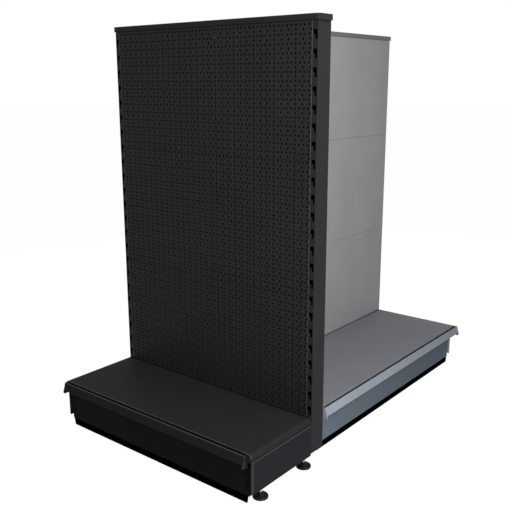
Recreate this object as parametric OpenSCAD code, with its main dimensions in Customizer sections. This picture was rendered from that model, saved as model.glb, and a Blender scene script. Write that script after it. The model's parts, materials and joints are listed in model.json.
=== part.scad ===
// A gondola end unit: a slotted frame with perforated panels, a base shelf, a sloped price
// rail and a kick plate, standing across the end of one bay of double-sided shop shelving.
// Millimetres. The floor is z = 0, the end unit's front looks along -Y, and the origin lies
// under the middle of the whole piece.

/* [Widths and depths] */
// Distance between the centres of the end unit's two uprights
end_pitch = 800; // [600:25:1000]
// Distance between the centres of the bay's two uprights
bay_pitch = 1000; // [625:25:1330]
// Depth of the end unit's base, from the uprights to the front of the legs
end_base_depth = 285; // [225:5:420]
// How far the bay's legs stop short of the end unit's outer sides
bay_inset = 35; // [30:1:80]

/* [Uprights] */
// Height of the uprights' top above the floor
upright_top = 1324; // [1124:50:2124]
// Height of the uprights' lower end above the floor
upright_bottom = 44; // [42:1:60]
// Width of an upright, seen from its slotted face
upright_w = 22; // [21:1:40]
// Depth of an upright, from slotted face to slotted face
upright_d = 62; // [50:2:90]
// Wall of an upright
upright_wall = 2; // [1.5:0.25:3]
// Height from one slot to the next
slot_pitch = 50; // [40:5:75]
// Height of a slot
slot_h = 26; // [20:1:30]
// Width of a slot's upper half, where a hook goes in
slot_w = 12; // [10:0.5:13]
// Width of a slot's lower half, where a hook settles
slot_neck_w = 6; // [5:0.5:8]
// Distance from an upright's outer side to its slots
slot_margin = 3; // [2.5:0.5:4]
// Distance from an upright's top to its first slot
slot_drop = 25; // [15:1:40]

/* [Panels] */
// Height of a back panel
panel_h = 400; // [200:50:500]
// Height of the lowest panel's lower edge above the floor
panel_bottom = 144; // [142:1:160]
// Sheet of a back panel
panel_t = 1.2; // [0.8:0.1:1.5]
// Depth of a panel's folded edges
panel_fold = 15; // [10:1:20]
// Distance from the uprights to a panel's folded sides
panel_fold_in = 12; // [8:1:40]
// Part of an upright's face left showing beside a panel
panel_reveal = 18; // [17:0.5:20]
// Part of the far upright's face left showing beside the bay's panels
far_reveal = 3; // [2:0.5:20]
// Joint between one panel and the next
panel_joint = 0.8; // [0.5:0.1:2]
// Joint between the two sheets of a perforated panel
sheet_joint = 0.3; // [0.2:0.05:1]
// Diameter of a perforation
hole_d = 6; // [3:0.5:6]
// Least distance from a perforation to a panel's edge
hole_margin = 2.5; // [2:0.5:10]
// Height from one row of perforations to the next
hole_row = 12.5; // [12.5:2.5:25]
// Spacing of the perforations in the close rows
hole_close = 15; // [10:2.5:25]
// Spacing of the perforations in the wide rows
hole_wide = 25; // [20:2.5:50]

/* [Legs] */
// Height of the legs' underside above the floor
leg_bottom = 38; // [36:1:60]
// Height of the legs' top above the floor
leg_top = 140; // [120:1:140]
// Sheet of a leg
leg_t = 2.5; // [2:0.25:3]
// Width of a leg's folded edges
leg_flange = 36; // [34:1:50]
// Width of a leg's front lip, seen beside the kick plate
leg_lip = 9; // [8:0.5:14]
// Rounding of a leg's front corner
leg_r = 4; // [3:0.5:5]

/* [Base shelves] */
// Height of the base shelves' surface above the floor
shelf_top = 165; // [160:1:180]
// Sheet of a base shelf
shelf_t = 1.2; // [0.8:0.1:1.5]
// Rounding of a base shelf's sides
shelf_r = 12; // [4:1:16]
// How far the end unit's shelf stands out past its legs
end_nose = 6; // [4:1:30]
// How far the bay's shelves stand out past their legs
bay_nose = 17; // [4:1:30]
// Depth of the folded front edge of a base shelf
shelf_skirt = 45; // [42:1:46]
// Gap between a base shelf and the uprights
shelf_gap = 3; // [2.5:0.5:6]
// Width of a stiffener under a base shelf
hat_w = 40; // [20:1:60]
// Height of a stiffener under a base shelf
hat_h = 12; // [8:1:20]

/* [Price rails] */
// Height of a price rail
rail_h = 30; // [26:1:34]
// Height of a price rail's end caps, whose tips hang lower than the rail
rail_cap_h = 42; // [38:1:44]
// How far an end cap's tip stands out past the rail's upper edge
rail_lean = 8; // [6:0.5:16]
// How far a price rail's lip lies below the shelf's surface
rail_drop = 3; // [1:0.5:3]
// Width of the groove between the shelf and the rail's lip
rail_groove = 6; // [3:0.5:6]
// Depth of that groove
rail_groove_h = 7; // [5:1:10]
// Wall of a price rail
rail_wall = 1.8; // [1.4:0.1:2.4]
// Thickness of a price rail's end cap
rail_cap = 3; // [2:0.5:5]
// Sideways place of the end unit's price rail, from the middle to the left
end_rail_shift = 4; // [0:1:10]
// Sideways place of the bay's price rails, from the middle towards the far end
bay_rail_shift = 11; // [0:1:11]

/* [Kick plates] */
// Height of a kick plate's lower edge above the floor
plinth_bottom = 27; // [24:1:32]
// Height of a kick plate's upper edge above the floor
plinth_top = 118; // [100:1:119]
// Sheet of a kick plate
plinth_t = 1.2; // [0.8:0.1:1.5]
// Distance from an upright's outer side to the kick plate's end
plinth_inset = 15.5; // [15:0.5:19]
// How far a kick plate lies behind the front of the legs
plinth_setback = 4; // [3.5:0.1:8]
// Depth of a kick plate's folded edges
plinth_fold = 12; // [8:1:20]
// Depth of a kick plate's folded ends, which rest against the legs
plinth_end_fold = 8; // [6:0.5:12]
// Width of the slots near each end of a kick plate
plinth_slot_w = 4; // [3:0.5:6]
// Distance from a kick plate's end to the middle of its slots
plinth_slot_in = 11.5; // [10:0.5:14]
// Height of the lower slot's lower end above the floor
plinth_slot_bottom = 50; // [45:1:60]
// Height of the upper slot's upper end above the floor
plinth_slot_top = 112; // [106:1:113]
// Height of the bridge between the slots above the floor
plinth_bridge = 76; // [70:1:80]
// Height of that bridge itself
plinth_bridge_h = 16; // [8:1:20]
// Height of the sealing strip's lower edge above the floor
strip_bottom = 4; // [2:1:10]
// Thickness of the sealing strip
strip_t = 2.5; // [1.5:0.5:4]
// Distance from an upright's outer side to the sealing strip's end
strip_inset = 20; // [18:1:30]
// How much shorter the strip's lower edge is at each end
strip_taper = 4; // [0:1:8]

/* [Top covers] */
// Thickness of the top covers
cap_t = 16; // [12:1:25]
// How far the end unit's top cover stands out past the uprights
cap_overhang = 6.3; // [3:0.1:15]
// Rounding of the end unit's top cover, seen from above
cap_r = 12; // [6:1:20]
// How far the bay's top cover stands out past the uprights
bay_cap_overhang = 2; // [0:0.5:6]

/* [Feet] */
// Diameter of a levelling foot's pad
foot_d = 40; // [30:1:44]
// Thickness of a pad's rim
foot_rim = 6; // [4:0.5:8]
// Diameter of a foot's threaded stud
stud_d = 10; // [8:1:12]
// Height of a stud's top above the floor
stud_top = 92; // [72:1:100]
// Distance from an upright's outer side to a foot's middle
foot_inset = 18; // [17:0.5:20]
// Distance from the front of a leg to its front foot's middle
foot_front = 57; // [40:1:80]
// Distance from the uprights to a rear foot's middle
foot_rear = 14; // [13:1:40]

/* [Joining parts] */
// Height of a tie bar
tie_h = 30; // [24:1:40]
// Wall of a tie bar
tie_wall = 2.5; // [2:0.5:4]
// Height of the lower tie bar's underside above the floor
tie_low = 110; // [60:1:112]
// Distance from the uprights' top down to the upper tie bar
tie_drop = 12; // [5:1:40]
// Diameter of a joining bolt
bolt_d = 8; // [6:1:10]

/* [Clearances] */
// Gap between two pieces that seat on each other
seat = 0.3; // [0.2:0.05:0.5]
// Clearance round a stud in its nut
stud_fit = 0.05; // [0.02:0.01:0.1]
// Clearance round a bolt or a stud in a plain hole
hole_fit = 0.5; // [0.3:0.1:1]

/* [Hidden] */

black = [0.13, 0.13, 0.14];
deep_black = [0.03, 0.03, 0.03];
grey = [0.55, 0.57, 0.6];
zinc = [0.72, 0.72, 0.7];

// Outer widths over the uprights
end_w = end_pitch + upright_w;
bay_w = bay_pitch + upright_w;
// Depth of a base of the bay, from the uprights to the front of the legs
bay_base_depth = end_w / 2 - upright_d / 2 - bay_inset;
// A panel's face stands this far out from the uprights
panel_out = seat + panel_t;
// Where the bay starts behind the end unit, and its middle
bay_start = upright_d + panel_out + seat;
bay_middle = bay_start + bay_w / 2;
// Outer side of a price rail's lip, and its end caps' reach, both from the shelf's front
rail_lip = seat + rail_wall + rail_groove + rail_wall;
rail_reach = rail_lip + rail_lean + rail_wall;
// Height of the rounded part of an end cap's tip
rail_tip_h = 7.5;
// The whole piece lies from here to there along Y, and the origin is moved to its middle
front_reach = end_base_depth + end_nose + rail_reach;
back_reach = bay_start + bay_w + bay_cap_overhang;
y_shift = (front_reach - back_reach) / 2;

slot_count = floor((upright_top - slot_drop - slot_h - upright_bottom) / slot_pitch) + 1;
// Heights of the slots' lower ends
slots = [for (k = [0 : slot_count - 1]) upright_top - slot_drop - slot_h - k * slot_pitch];
// Slots that lie behind a leg take its hooks
hook_h = slot_h / 2 - 3;
hooks = [for (z = slots) if (z > leg_bottom + 8 && z + hook_h + 2 < leg_top) z];

panel_w = end_pitch + upright_w - 2 * panel_reveal;
panel_top = upright_top - seat;
seam_1 = panel_bottom + panel_h;
seam_2 = panel_bottom + 2 * panel_h;

// The plate behind a kick plate's ends lies this far behind the leg's front
leg_recess = plinth_setback + plinth_end_fold + seat;

// The kick plate's face, from the uprights
function plinth_y(depth) = depth - plinth_setback;

// A nut's height as a share of its thread
nut_share = 0.8;

// Undersides of the lower and the upper tie bar, and the depth that a tie bar fills
function tie_heights() = [tie_low, upright_top - tie_drop - tie_h];
tie_front = panel_fold + 1;
tie_back = upright_d - panel_fold - 1;

// A closed tube with hook slots in both narrow faces; outer side at x = 0, slotted faces at
// y = 0 and y = upright_d.
module upright() {
    difference() {
        translate([0, 0, upright_bottom])
            cube([upright_w, upright_d, upright_top - upright_bottom]);
        translate([upright_wall, upright_wall, upright_bottom + upright_wall])
            cube([
                upright_w - 2 * upright_wall,
                upright_d - 2 * upright_wall,
                upright_top - upright_bottom
            ]);
        for (z = slots) slot_pair(z);
    }
}

// One slot cut through both slotted faces: wide above, and narrow below beside the outer side
module slot_pair(z) {
    translate([slot_margin, -1, z + slot_h / 2])
        cube([slot_w, upright_d + 2, slot_h / 2]);
    translate([slot_margin, -1, z])
        cube([slot_neck_w, upright_d + 2, slot_h / 2 + 1]);
}

// A bay's upright also has holes for joining bolts in its outer side
module joined_upright() {
    difference() {
        upright();
        for (z = tie_heights()) translate([-1, upright_d / 2, z + tie_h / 2])
            rotate([0, 90, 0])
            cylinder(d = bolt_d + 2 * hole_fit, h = upright_wall + 2, $fn = 32);
    }
}

// Plan of a leg's front end: outer web, rounded front corner, lip and the recessed plate
module leg_front_plan(depth) {
    difference() {
        union() {
            translate([0, -depth + leg_r]) square([leg_t, leg_flange]);
            translate([leg_r, -depth]) square([leg_lip - leg_r, leg_t]);
            translate([leg_r, -depth + leg_r]) circle(r = leg_r, $fn = 48);
        }
        translate([leg_r, -depth + leg_r]) circle(r = leg_r - leg_t, $fn = 48);
        translate([leg_t, -depth + leg_r]) square([leg_flange, leg_flange]);
        translate([leg_r, -depth + leg_t]) square([leg_flange, leg_flange]);
    }
    translate([leg_lip - leg_t, -depth]) square([leg_t, leg_recess + leg_t]);
    translate([leg_lip - leg_t, -depth + leg_recess]) square([leg_flange - leg_lip + leg_t, leg_t]);
}

// A folded channel that opens inwards; outer side at x = 0, back at the uprights' face y = 0
module leg(depth) {
    inner_y = -depth + leg_recess;
    difference() {
        union() {
            translate([0, 0, leg_bottom])
                linear_extrude(height = leg_top - leg_bottom)
                leg_front_plan(depth);
            translate([0, -depth + leg_r, leg_bottom])
                cube([leg_t, depth - leg_r - seat, leg_top - leg_bottom]);
            for (z = [leg_bottom, leg_top - leg_t]) translate([0, inner_y, z])
                cube([leg_flange, -inner_y - seat, leg_t]);
            translate([0, -seat - leg_t, leg_bottom])
                cube([upright_w, leg_t, leg_top - leg_bottom]);
            for (z = hooks) hook(z);
        }
        for (y = foot_places(depth)) translate([foot_inset, -y, leg_bottom - 1])
            cylinder(d = stud_d + 2 * hole_fit, h = leg_t + 2, $fn = 32);
    }
}

// A hook that goes through an upright's slot and hangs down behind its wall
module hook(z) {
    translate([slot_margin + hole_fit, -seat - leg_t, z + 1])
        cube([leg_t, seat + leg_t + upright_wall + 1 + leg_t, hook_h]);
    translate([slot_margin + hole_fit, upright_wall + 1, z - 5])
        cube([leg_t, leg_t, hook_h]);
}

// Distances of a leg's two feet from the uprights
function foot_places(depth) = [depth - foot_front, foot_rear];

// A folded sheet from z0 to z1 in front of the uprights' face y = 0, and from x0 to x1
module panel(x0, x1, span, z0, z1) {
    low = z0 + panel_joint / 2;
    high = z1 - panel_joint / 2;
    translate([x0, -panel_out, low]) cube([x1 - x0, panel_t, high - low]);
    panel_folds(span, low, high);
}

// The four folded edges behind a panel's sheet
module panel_folds(span, low, high) {
    fold_x = (span - upright_w) / 2 - panel_fold_in;
    for (side = [-1, 1]) translate([side * (fold_x - panel_t / 2) - panel_t / 2, -panel_out, low])
        cube([panel_t, panel_out + panel_fold, high - low]);
    for (z = [low, high - panel_t]) translate([-fold_x, -panel_out, z])
        cube([2 * fold_x, panel_out + panel_fold, panel_t]);
}

// A folded sheet from low to high like the others, with rows of round holes that start at z0:
// wide and close rows in turn
module perforated_sheet(width, span, z0, low, high) {
    last = floor((high - z0 - hole_row / 2 - hole_d / 2 - 1) / hole_row);
    translate([0, panel_t - panel_out, 0]) rotate([90, 0, 0])
        linear_extrude(height = panel_t) difference() {
            translate([-width / 2, low]) square([width, high - low]);
            for (k = [0 : last])
                hole_line(width, k % 2 == 0 ? hole_wide : hole_close, z0 + (k + 0.5) * hole_row);
        }
    panel_folds(span, low, high);
}

// One row of holes, with a gap in the panel's middle
module hole_line(width, pitch, z) {
    half = floor((width / 2 - hole_d / 2 - hole_margin - pitch / 2) / pitch);
    for (i = [-half - 1 : half]) translate([(i + 0.5) * pitch, z]) circle(d = hole_d, $fn = 24);
}

// Section of a base shelf across its width: a sheet with two rounded, folded sides
module shelf_section(width) {
    side_h = shelf_top - leg_top - seat;
    difference() {
        shelf_outline(width, side_h, shelf_r);
        translate([0, -1]) shelf_outline(width - 2 * shelf_t, side_h + 1 - shelf_t, shelf_r - shelf_t);
    }
}

module shelf_outline(width, height, r) {
    translate([-width / 2, 0]) square([width, height - r]);
    translate([-width / 2 + r, 0]) square([width - 2 * r, height]);
    for (side = [-1, 1]) translate([side * (width / 2 - r), height - r]) circle(r = r, $fn = 48);
}

// A folded tray that rests on the legs, with a skirt at the front and two stiffeners below
module base_shelf(width, front) {
    side_h = shelf_top - leg_top - seat;
    length = front - shelf_gap;
    translate([0, -shelf_gap, leg_top + seat]) rotate([90, 0, 0])
        linear_extrude(height = length) shelf_section(width);
    for (y = [-front + shelf_t, -shelf_gap]) translate([0, y, leg_top + seat]) rotate([90, 0, 0])
        linear_extrude(height = shelf_t) shelf_outline(width, side_h, shelf_r);
    translate([-width / 2 + shelf_r, -front, shelf_top - shelf_skirt])
        cube([width - 2 * shelf_r, shelf_t, shelf_skirt - side_h / 2]);
    for (k = [1, 2]) translate([0, -shelf_gap - k * length / 3, 0]) stiffener(width - 2 * leg_flange);
}

// A hat section under a shelf, along its width
module stiffener(width) {
    difference() {
        translate([-width / 2, -hat_w / 2, shelf_top - shelf_t - hat_h])
            cube([width, hat_w, hat_h + shelf_t / 2]);
        translate([-width / 2 - 1, -hat_w / 2 + shelf_t, shelf_top - hat_h])
            cube([width + 2, hat_w - 2 * shelf_t, hat_h - shelf_t]);
    }
}

// How far out a price rail's face lies at the given height below the shelf's surface. The face
// swings outwards towards the end caps' tips.
function rail_face(drop) =
    let (share = drop / (rail_cap_h - rail_tip_h))
    rail_lip + (rail_lean + rail_wall) * (0.8 * share + 0.2 * share * share);

// Section of a price rail, from the shelf's front outwards and from the shelf's surface down.
// The groove lies between the shelf and the rail's upper lip.
function rail_section() =
    let (back = seat, low = rail_face(rail_h)) concat(
        [[back, -rail_h + 3], [back + 3, -rail_h], [low - 2, -rail_h - 0.6], [low, -rail_h + 0.8]],
        [for (k = [5 : -1 : 1]) [rail_face(rail_h * k / 6), -rail_h * k / 6]],
        [[rail_lip, -rail_drop - 1.2], [rail_lip - 0.8, -rail_drop], [rail_lip - rail_wall, -rail_drop]],
        [[rail_lip - rail_wall, -rail_groove_h], [back + rail_wall, -rail_groove_h]],
        [[back + rail_wall, -rail_drop], [back, -rail_drop]]
    );

// The hollow inside a price rail
function rail_hollow() =
    let (back = seat + rail_wall, high = -rail_groove_h - rail_wall, low = -rail_h + rail_wall)
    concat(
        [[back, low + 1.5], [back + 1.5, low], [rail_face(rail_h) - rail_wall - 0.5, low]],
        [for (k = [5 : -1 : 2]) [rail_face(rail_h * k / 6) - rail_wall, max(low, -rail_h * k / 6)]],
        [[rail_face(-high) - rail_wall, high], [back, high]]
    );

// Outline of an end cap: like a claw, with a rounded tip below the rail's face
function cap_outline() =
    let (tip = rail_lip + rail_lean + rail_wall, bottom = -rail_cap_h, face_h = rail_cap_h - rail_tip_h)
    concat(
        [[seat, bottom + 4], [seat + 4, bottom + 0.6], [tip - 7, bottom]],
        [for (a = [-75 : 15 : 0]) [tip - 5.5 + 5.5 * cos(a), bottom + rail_tip_h + rail_tip_h * sin(a)]],
        [for (k = [5 : -1 : 1]) [rail_face(face_h * k / 6), -face_h * k / 6]],
        [[rail_lip, -rail_drop - 1.2], [rail_lip - 0.8, -rail_drop], [seat, -rail_drop]]
    );

module price_rail(width, front) {
    translate([-width / 2 + rail_cap, -front, shelf_top]) along_x()
        linear_extrude(height = width - 2 * rail_cap) difference() {
            polygon(rail_section());
            polygon(rail_hollow());
        }
}

module rail_caps(width, front) {
    for (side = [-1, 1])
        translate([side * (width - rail_cap) / 2 - rail_cap / 2 + side * seat, -front, shelf_top])
        along_x() linear_extrude(height = rail_cap) polygon(cap_outline());
}

// Turns a section drawn as (outwards, up) so that it is drawn out along +X
module along_x() {
    mirror([0, 1, 0]) rotate([90, 0, 90]) children();
}

// A folded plate between the legs' lips, with two slots near each end
module kick_plate(width, depth) {
    face = plinth_y(depth);
    long = width - 2 * plinth_inset;
    inside = width - 2 * leg_flange - 2;
    plate_h = plinth_top - plinth_bottom;
    difference() {
        union() {
            translate([-long / 2, -face, plinth_bottom]) cube([long, plinth_t, plate_h]);
            for (side = [-1, 1])
                translate([side * (long - plinth_t) / 2 - plinth_t / 2, -face, plinth_bottom])
                cube([plinth_t, plinth_end_fold, plate_h]);
            for (z = [plinth_bottom, plinth_top - plinth_t]) translate([-inside / 2, -face, z])
                cube([inside, plinth_fold, plinth_t]);
        }
        for (side = [-1, 1]) translate([side * (long / 2 - plinth_slot_in), -face, 0]) {
            plinth_slot(plinth_slot_bottom, plinth_bridge);
            plinth_slot(plinth_bridge + plinth_bridge_h, plinth_slot_top);
        }
    }
}

module plinth_slot(z0, z1) {
    translate([-plinth_slot_w / 2, -1, z0]) cube([plinth_slot_w, plinth_t + 2, z1 - z0]);
}

// A soft blade under the kick plate, with a foot against the plate's lower fold
module seal_strip(width, depth) {
    face = plinth_y(depth);
    long = width - 2 * strip_inset;
    inside = width - 2 * leg_flange - 2;
    high = plinth_bottom - seat;
    translate([0, -face, 0]) rotate([90, 0, 0]) mirror([0, 0, 1])
        linear_extrude(height = strip_t) polygon([
            [-long / 2 + strip_taper, strip_bottom], [long / 2 - strip_taper, strip_bottom],
            [long / 2, high], [-long / 2, high]
        ]);
    translate([-inside / 2, -face, high - strip_t])
        cube([inside, plinth_fold, strip_t]);
}

// A pad with a domed hub, a spanner collar and a threaded stud, standing at the origin
module foot() {
    hub_r = stud_d * 0.9;
    hub_top = foot_rim + 6;
    collar_top = hub_top + 6;
    rotate_extrude($fn = 64) polygon([
        [0, 0], [foot_d / 2 - 1, 0], [foot_d / 2, 1], [foot_d / 2, foot_rim - 2],
        [foot_d / 2 - 2, foot_rim], [hub_r + 3, foot_rim + 1], [hub_r, foot_rim + 3],
        [hub_r - 1, hub_top], [0, hub_top]
    ]);
    translate([0, 0, hub_top - 1]) cylinder(r = hub_r - 1, h = collar_top - hub_top + 1, $fn = 6);
    translate([0, 0, collar_top - 1]) cylinder(d = stud_d, h = stud_top - collar_top - 1, $fn = 48);
    translate([0, 0, stud_top - 2]) cylinder(d1 = stud_d, d2 = stud_d - 3, h = 2, $fn = 48);
}

// A hexagon nut on a leg's lower fold, over a foot's stud
module foot_nut() {
    nut(stud_d, leg_bottom + leg_t + seat, stud_fit);
}

module nut(d, z, clearance) {
    translate([0, 0, z]) difference() {
        cylinder(r = d, h = nut_share * d, $fn = 6);
        translate([0, 0, -1]) cylinder(r = d / 2 + clearance, h = nut_share * d + 2, $fn = 48);
    }
}

// A flat cover on the uprights' tops, with rounded corners in plan
module end_cover() {
    w = end_w / 2 + cap_overhang;
    front = cap_overhang;
    back = upright_d + cap_overhang;
    translate([0, 0, upright_top]) linear_extrude(height = cap_t) {
        translate([-w + cap_r, -front]) square([2 * (w - cap_r), front + back]);
        translate([-w, -front + cap_r]) square([2 * w, front + back - 2 * cap_r]);
        for (x = [-w + cap_r, w - cap_r], y = [-front + cap_r, back - cap_r])
            translate([x, y]) circle(r = cap_r, $fn = 64);
    }
}

// A channel between two uprights, open to the front, which lies between the panels' folds
module tie_bar(span, z, bolted) {
    clear = span - upright_w - 2 * seat;
    difference() {
        translate([-clear / 2, tie_front, z]) cube([clear, tie_back - tie_front, tie_h]);
        translate([-clear / 2 - 1, tie_front - 1, z + tie_wall])
            cube([clear + 2, tie_back - tie_front + 1 - tie_wall, tie_h - 2 * tie_wall]);
        if (bolted) translate([0, tie_back - tie_wall - 1, z + tie_h / 2]) bolt_hole(tie_wall + 2);
    }
}

// A plain hole for a joining bolt, along +Y
module bolt_hole(length) {
    rotate([-90, 0, 0]) cylinder(d = bolt_d + 2 * hole_fit, h = length, $fn = 32);
}

// A bolt from the end unit's tie bar into the bay's upright, its axis along +Y from y = 0
module joining_bolt() {
    head_h = 0.65 * bolt_d;
    reach = bay_start - tie_back + tie_wall + upright_wall + 2 * seat + nut_share * bolt_d + 4;
    rotate([-90, 0, 0]) {
        translate([0, 0, -head_h]) cylinder(r = bolt_d * 0.95, h = head_h, $fn = 6);
        translate([0, 0, -1]) cylinder(d = bolt_d, h = reach + 1, $fn = 48);
    }
}

// Puts a piece of the end unit in its place
module at_end() {
    translate([0, y_shift, 0]) children();
}

// Puts a piece drawn for one side of the bay in its place; the right side looks along +X
module at_bay(side) {
    translate([side * upright_d / 2, y_shift + bay_middle, 0])
        rotate([0, 0, side * 90]) children();
}

// Puts a piece drawn with its outer side at x = 0 at one end of a row of the given width
module at_side(width, side) {
    if (side < 0) translate([-width / 2, 0, 0]) children();
    else translate([width / 2, 0, 0]) mirror([1, 0, 0]) children();
}

module end_upright(side) {
    color(black) at_end() at_side(end_w, side) upright();
}

module end_leg(side) {
    color(black) at_end() at_side(end_w, side) leg(end_base_depth);
}

// A perforated panel is as high as the bay's, in two sheets
module end_panel(z0, z1) {
    middle = z0 + panel_h / 2;
    color(black) at_end() {
        perforated_sheet(panel_w, end_pitch, z0, z0 + panel_joint / 2, middle - sheet_joint / 2);
        perforated_sheet(panel_w, end_pitch, middle, middle + sheet_joint / 2, z1 - panel_joint / 2);
    }
}

module end_rear_panels() {
    color(black) at_end() difference() {
        translate([0, upright_d, 0]) rotate([0, 0, 180]) {
            panel(-panel_w / 2, panel_w / 2, end_pitch, panel_bottom, seam_1);
            panel(-panel_w / 2, panel_w / 2, end_pitch, seam_1, seam_2);
            panel(-panel_w / 2, panel_w / 2, end_pitch, seam_2, panel_top);
        }
        for (z = tie_heights()) translate([0, upright_d - 1, z + tie_h / 2]) bolt_hole(panel_out + 2);
    }
}

module end_base_shelf() {
    color(black) at_end() base_shelf(end_w, end_base_depth + end_nose);
}

module end_price_rail() {
    color(black) at_end() translate([-end_rail_shift, 0, 0])
        price_rail(end_pitch, end_base_depth + end_nose);
}

module end_rail_caps() {
    color(black) at_end() translate([-end_rail_shift, 0, 0])
        rail_caps(end_pitch, end_base_depth + end_nose);
}

module end_kick_plate() {
    color(black) at_end() kick_plate(end_w, end_base_depth);
}

module end_seal_strip() {
    color(deep_black) at_end() seal_strip(end_w, end_base_depth);
}

module end_top_cover() {
    color(black) at_end() end_cover();
}

module end_tie_bars() {
    color(black) at_end() for (z = tie_heights()) tie_bar(end_pitch, z, true);
}

module end_foot_nuts() {
    color(zinc) at_end() for (side = [-1, 1], y = foot_places(end_base_depth))
        at_side(end_w, side) translate([foot_inset, -y, 0]) foot_nut();
}

module end_foot(side, place) {
    color(zinc) at_end() at_side(end_w, side)
        translate([foot_inset, -foot_places(end_base_depth)[place], 0]) foot();
}

module joining_bolts() {
    color(zinc) at_end() for (z = tie_heights())
        translate([0, tie_back - tie_wall - seat, z + tie_h / 2]) joining_bolt();
}

module joining_nuts() {
    color(zinc) at_end() for (z = tie_heights())
        translate([0, bay_start + upright_wall + seat, z + tie_h / 2]) rotate([-90, 0, 0])
        nut(bolt_d, 0, hole_fit);
}

module bay_upright_near() {
    color(grey) at_bay(1) translate([-bay_w / 2, 0, 0]) joined_upright();
}

module bay_upright_far() {
    color(grey) at_bay(1) translate([bay_w / 2, 0, 0]) mirror([1, 0, 0]) joined_upright();
}

module bay_leg(side, end) {
    color(grey) at_bay(side) at_side(bay_w, end) leg(bay_base_depth);
}

// The bay's panels reach over the far upright's slots
module bay_panels(z0, z1) {
    near = bay_w / 2 - panel_reveal;
    far = bay_w / 2 - far_reveal;
    color(grey) {
        at_bay(1) panel(-near, far, bay_pitch, z0, z1);
        at_bay(-1) panel(-far, near, bay_pitch, z0, z1);
    }
}

module bay_base_shelf(side) {
    color(grey) at_bay(side) base_shelf(bay_w, bay_base_depth + bay_nose);
}

module bay_price_rail(side) {
    color(grey) at_bay(side) translate([side * bay_rail_shift, 0, 0])
        price_rail(bay_pitch, bay_base_depth + bay_nose);
}

module bay_rail_caps(side) {
    color(grey) at_bay(side) translate([side * bay_rail_shift, 0, 0])
        rail_caps(bay_pitch, bay_base_depth + bay_nose);
}

module bay_kick_plate(side) {
    color(grey) at_bay(side) kick_plate(bay_w, bay_base_depth);
}

module bay_seal_strip(side) {
    color(deep_black) at_bay(side) seal_strip(bay_w, bay_base_depth);
}

// The bay's top cover starts behind the end unit's
module bay_top_cover() {
    near = upright_d + cap_overhang + seat;
    far = bay_start + bay_w + bay_cap_overhang;
    half = upright_d / 2 + bay_cap_overhang + panel_out;
    color(grey) at_end() translate([-half, near, upright_top]) cube([2 * half, far - near, cap_t]);
}

module bay_tie_bars() {
    color(grey) at_bay(1) for (z = tie_heights()) tie_bar(bay_pitch, z, false);
}

module bay_foot_nuts() {
    color(zinc) for (side = [-1, 1]) at_bay(side)
        for (end = [-1, 1], y = foot_places(bay_base_depth))
        at_side(bay_w, end) translate([foot_inset, -y, 0]) foot_nut();
}

// Feet 1 and 2 are the near leg's front and rear feet, 3 and 4 the far leg's
module bay_foot(side, number) {
    end = (number < 3 ? -1 : 1) * side;
    color(zinc) at_bay(side) at_side(bay_w, end)
        translate([foot_inset, -foot_places(bay_base_depth)[(number - 1) % 2], 0]) foot();
}

end_upright(-1);  // end_upright_left
end_upright(1);  // end_upright_right
end_leg(-1);  // end_leg_left
end_leg(1);  // end_leg_right
end_panel(panel_bottom, seam_1);  // end_panel_lower
end_panel(seam_1, seam_2);  // end_panel_middle
end_panel(seam_2, panel_top);  // end_panel_upper
end_rear_panels();
end_base_shelf();
end_price_rail();
end_rail_caps();
end_kick_plate();
end_seal_strip();
end_top_cover();
end_tie_bars();
end_foot_nuts();
end_foot(-1, 0);  // end_foot_front_left
end_foot(1, 0);  // end_foot_front_right
end_foot(-1, 1);  // end_foot_rear_left
end_foot(1, 1);  // end_foot_rear_right
joining_bolts();
joining_nuts();
bay_upright_near();
bay_upright_far();
bay_leg(1, -1);  // bay_leg_right_near
bay_leg(1, 1);  // bay_leg_right_far
bay_leg(-1, 1);  // bay_leg_left_near
bay_leg(-1, -1);  // bay_leg_left_far
bay_panels(panel_bottom, seam_1);  // bay_panels_lower
bay_panels(seam_1, seam_2);  // bay_panels_middle
bay_panels(seam_2, panel_top);  // bay_panels_upper
bay_base_shelf(1);  // bay_base_shelf_right
bay_base_shelf(-1);  // bay_base_shelf_left
bay_price_rail(1);  // bay_price_rail_right
bay_price_rail(-1);  // bay_price_rail_left
bay_rail_caps(1);  // bay_rail_caps_right
bay_rail_caps(-1);  // bay_rail_caps_left
bay_kick_plate(1);  // bay_kick_plate_right
bay_kick_plate(-1);  // bay_kick_plate_left
bay_seal_strip(1);  // bay_seal_strip_right
bay_seal_strip(-1);  // bay_seal_strip_left
bay_top_cover();
bay_tie_bars();
bay_foot_nuts();
bay_foot(1, 1);  // bay_foot_right_1
bay_foot(1, 2);  // bay_foot_right_2
bay_foot(1, 3);  // bay_foot_right_3
bay_foot(1, 4);  // bay_foot_right_4
bay_foot(-1, 1);  // bay_foot_left_1
bay_foot(-1, 2);  // bay_foot_left_2
bay_foot(-1, 3);  // bay_foot_left_3
bay_foot(-1, 4);  // bay_foot_left_4
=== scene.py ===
import json
import logging
import math
from collections.abc import Callable
from dataclasses import dataclass, field
from enum import Enum
from functools import partial

import bmesh
import bpy
from mathutils import Matrix, Vector


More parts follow.
